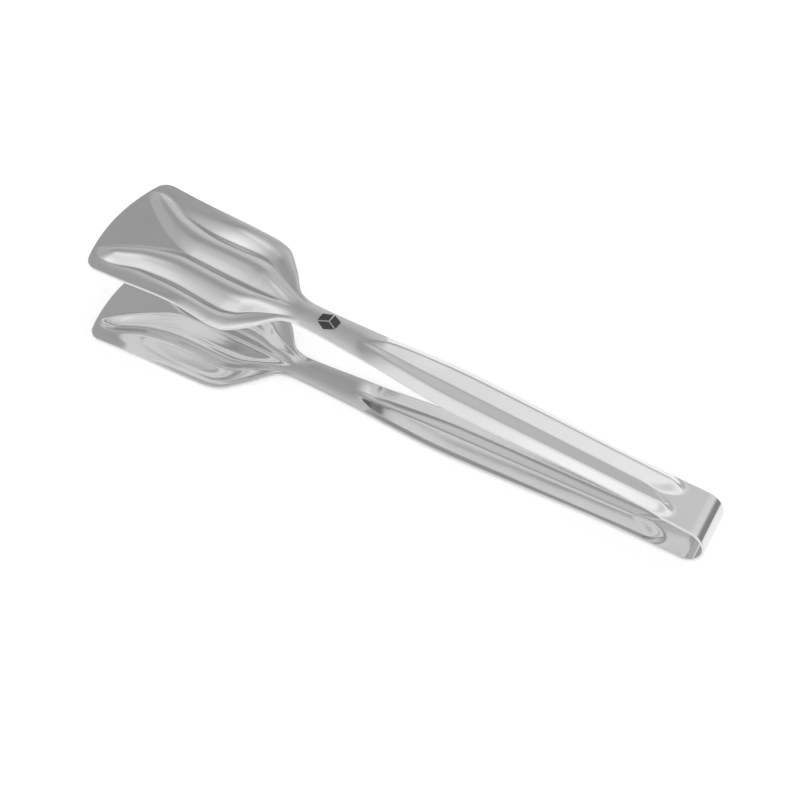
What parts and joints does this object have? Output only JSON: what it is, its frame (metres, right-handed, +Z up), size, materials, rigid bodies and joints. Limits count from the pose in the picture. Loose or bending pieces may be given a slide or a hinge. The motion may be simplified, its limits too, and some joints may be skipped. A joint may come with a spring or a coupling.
{
  "type": "ice tongs",
  "caption": "Sprung steel ice tongs: two pressed arms with fluted shovel scoops and ribbed handles, joined by a plain bow that flexes when squeezed.",
  "frame": {"origin": "middle of the bounding box's base, on the surface that the lower arm lies on", "axes": "+Z up, +X along the lower arm from the scoop tips to the bow, +Y across the tongs"},
  "size_m": [0.18, 0.0388, 0.0308],
  "materials": {
    "pressed_steel": "satin-polished stainless steel sheet, pressed and tumbled"
  },
  "bodies": {
    "lower_arm": {"lower_arm": "pressed_steel", "spring_bow": "pressed_steel"},
    "upper_arm": {"upper_arm": "pressed_steel"}
  },
  "joints": [
    {"name": "squeeze", "type": "hinge", "parent": "lower_arm", "child": "upper_arm", "pos_m": [0.08767, 0, 0.00744], "axis": [0, -1, 0], "range_deg": [0, 8.5], "stiffness_Nm_per_rad": 3, "deforming": ["spring_bow"]}
  ]
}
